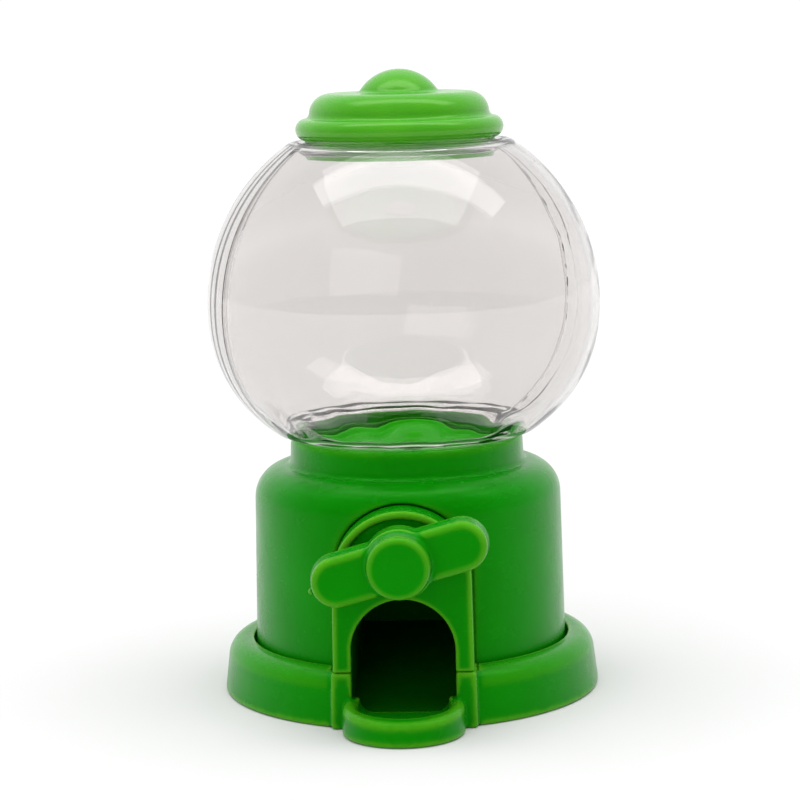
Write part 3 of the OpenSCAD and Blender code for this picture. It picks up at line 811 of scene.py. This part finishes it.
def clear_plastic(name):
    """Clear moulded plastic, faintly grey and wavy, that lets light through to what is behind it."""
    material, tree = new_material(name)
    cloud = spread(tree, noise(tree, 0.03, 2), 0.3, 0.7)
    colour = blend_colours(tree, cloud, (0.815, 0.795, 0.785, 1), (0.835, 0.817, 0.808, 1))
    rough = spread(tree, noise(tree, 0.55, 1, shift=(2, 5, 3)), 0.80, 0.83, 0.0, 0.25)
    wave = noise(tree, 0.05, 2)
    relief = node(tree, "Bump", [(wave, "Height")], Strength=0.12, Distance=0.0012)
    shader = node(tree, "BsdfPrincipled", [
        (colour, "Base Color"), (rough, "Roughness"), (relief.outputs["Normal"], "Normal")])
    shader.inputs["IOR"].default_value = 1.5
    shader.inputs["Transmission Weight"].default_value = 1.0
    pane = node(tree, "BsdfTransparent", Color=(0.93, 0.925, 0.92, 1))
    path = node(tree, "LightPath")
    lit = node(tree, "MixShader", [
        (path.outputs["Is Diffuse Ray"], 0), (shader.outputs["BSDF"], 1), (pane.outputs["BSDF"], 2)])
    mix = node(tree, "MixShader", [
        (path.outputs["Is Shadow Ray"], 0), (lit.outputs[0], 1), (pane.outputs["BSDF"], 2)])
    node(tree, "OutputMaterial", [(mix.outputs[0], "Surface")])
    return material


def plated_steel(name):
    """Zinc-plated steel: turned grain across the axis, and cloudy passivation."""
    material, tree = new_material(name)
    cloud = spread(tree, noise(tree, 0.5, 3), 0.3, 0.7)
    colour = blend_colours(tree, cloud, (0.56, 0.57, 0.58, 1), (0.68, 0.67, 0.64, 1))
    grain = noise(tree, 3.0, 2, stretch=(0.2, 2, 1))
    rough = spread(tree, grain, 0.3, 0.7, 0.22, 0.42)
    relief = node(tree, "Bump", [(grain, "Height")], Strength=0.2, Distance=0.0001)
    shader = node(tree, "BsdfPrincipled", [
        (colour, "Base Color"), (rough, "Roughness"), (relief.outputs["Normal"], "Normal")])
    shader.inputs["Metallic"].default_value = 1.0
    node(tree, "OutputMaterial", [(shader.outputs["BSDF"], "Surface")])
    return material


def pale_floor(name):
    """Plain pale floor, evened out where the lamps' light falls off."""
    material, tree = new_material(name)
    where = node(tree, "TexCoord")
    away = node(tree, "VectorMath", [(where.outputs["Object"], 0)], operation="LENGTH")
    lift = spread(tree, away.outputs["Value"], 0, 1.4, to_low=0, to_high=0.6)
    shader = node(tree, "BsdfPrincipled", [(lift, "Emission Color")])
    shader.inputs["Base Color"].default_value = (0.6, 0.6, 0.6, 1)
    shader.inputs["Roughness"].default_value = 1.0
    shader.inputs["Specular IOR Level"].default_value = 0.0
    shader.inputs["Emission Strength"].default_value = 1.0
    node(tree, "OutputMaterial", [(shader.outputs["BSDF"], "Surface")])
    return material


# ---- Studio ---------------------------------------------------------------------------------

def make_camera():
    """Camera a little to the right of the front and above it, looking slightly down, with a slight
    lean. Its eye and the point it looks at are in millimetres."""
    eye, aim = Vector((24.05, -529.65, 138.05)), Vector((-1.16, -0.05, 58.4))
    lean = math.radians(1.364)
    ahead = (aim - eye).normalized()
    right = ahead.cross(Vector((0, 0, 1))).normalized()
    up = right.cross(ahead)
    across = right * math.cos(lean) - up * math.sin(lean)
    along = right * math.sin(lean) + up * math.cos(lean)
    camera = bpy.data.objects.new("camera", bpy.data.cameras.new("camera"))
    bpy.context.scene.collection.objects.link(camera)
    camera.data.sensor_width = 36
    camera.data.lens = 119.15
    turned = Matrix((across, along, -ahead)).transposed().to_4x4()
    camera.matrix_world = Matrix.Translation(eye * MM) @ turned
    camera.data.clip_start, camera.data.clip_end = 0.01, 100
    bpy.context.scene.camera = camera


def make_floor():
    """Round floor on which the machine stands, 4 m in radius."""
    radius = 4
    turn = np.linspace(0, 2 * np.pi, 96, endpoint=False)
    rim = np.stack([radius * np.cos(turn), radius * np.sin(turn), 0 * turn], 1)
    mesh = bpy.data.meshes.new("floor")
    mesh.from_pydata(rim.tolist(), [], [list(range(len(rim)))])
    mesh.materials.append(pale_floor("pale_floor"))
    floor = bpy.data.objects.new("floor", mesh)
    bpy.context.scene.collection.objects.link(floor)


def soft_light(name, place, aim, size, power):
    """Soft box with a width and a depth in metres, at a place in metres, turned towards a point."""
    lamp = bpy.data.lights.new(name, "AREA")
    lamp.shape, lamp.energy = "RECTANGLE", power
    lamp.size, lamp.size_y = size
    box = bpy.data.objects.new(name, lamp)
    box.location = place
    direction = Vector(aim) - Vector(place)
    box.rotation_euler = direction.to_track_quat("-Z", "Y").to_euler()
    bpy.context.scene.collection.objects.link(box)
    return box


def make_studio():
    """Surroundings that are pale behind the machine and dim in front of it, a wide soft box
    overhead, and two fills that show in no reflection."""
    world = bpy.data.worlds.new("studio")
    world.use_nodes = True
    tree = world.node_tree
    where = node(tree, "TexCoord")
    split = node(tree, "SeparateXYZ", [(where.outputs["Generated"], "Vector")])
    strength = spread(tree, split.outputs["Y"], -0.5, 0.55, to_low=0.42, to_high=1.02)
    tree.links.new(strength, tree.nodes["Background"].inputs["Strength"])
    tree.nodes["Background"].inputs["Color"].default_value = (1, 1, 1, 1)
    bpy.context.scene.world = world
    bpy.context.scene.view_settings.view_transform = "Standard"
    soft_light("overhead", (0.14, -0.03, 1.0), (0.14, -0.02, 0), (1.66, 0.36), 3.5)
    top_fill = soft_light("top_fill", (0, -0.15, 1.3), (0, 0, 0), (1.6, 1.2), 16)
    front_fill = soft_light("front_fill", (-0.7, -1.8, 0.9), (0, 0, 0.05), (1.6, 1.0), 7)
    top_fill.visible_glossy = False
    front_fill.visible_glossy = False


make_camera()
make_studio()
make_floor()
groups = {"colour": moulded_colour_and_edge_light(), "finish": handled_finish()}
green = plastic("green_plastic", (0.002, 0.22, 0.001, 1), (0.002, 0.195, 0.001, 1),
                (0.105, 0.385, 0.012, 1), groups)
# Painted light: a lighter copy of the green plastic for the lid, standing in for light shining through the
# thin lid from the globe below.
lit_lid_green = plastic("lid_plastic", (0.045, 0.31, 0.002, 1), (0.035, 0.285, 0.002, 1),
                    (0.12, 0.42, 0.02, 1), groups, roughness=0.2, level=0.8, tint=(0.7, 1, 0.45, 1))
# Painted shade: a darker, duller copy of the green plastic for the parts inside the housing, standing in
# for the shade in there.
shaded_inner_green = plastic("inner_plastic", (0.002, 0.11, 0.001, 1), (0.002, 0.09, 0.001, 1),
                      (0.05, 0.2, 0.01, 1), groups, roughness=0.55, glow_amount=0.0, level=0.2)
# Painted light: a lighter copy of the green plastic for the hopper, standing in for the light that falls
# on it through the globe.
lit_hopper_green = plastic("lit_hopper_plastic", (0.03, 0.46, 0.006, 1), (0.02, 0.40, 0.005, 1),
                       (0.2, 0.6, 0.03, 1), groups)
white = plastic("drum_plastic", (0.8, 0.8, 0.76, 1), (0.72, 0.72, 0.67, 1), (0.9, 0.9, 0.86, 1),
                groups, roughness=0.4, glow_amount=0.0, tint=(1, 1, 1, 1))
steel = plated_steel("plated_steel")
clear = clear_plastic("clear_plastic")

make_base(green)
make_panel(green)
make_handle(green)
make_knob_cap(green)
make_body(green)
make_hopper(lit_hopper_green)
make_lid(lit_lid_green)
make_globe(clear)

carried = {
    "bottom_plate": green, "drum_housing": shaded_inner_green, "bearing_plate": shaded_inner_green, "chute": shaded_inner_green,
    "drum": white, "spindle": steel, "spindle_washer": steel, "spindle_screw": steel,
    "handle_screw": steel, "body_screws": steel, "plate_screws": steel, "panel_screws": steel,
    "hopper_screws": steel, "housing_screws": steel, "bearing_screws": steel, "chute_screws": steel}
for name, material in carried.items():
    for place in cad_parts[name].material_slots:
        place.material = material
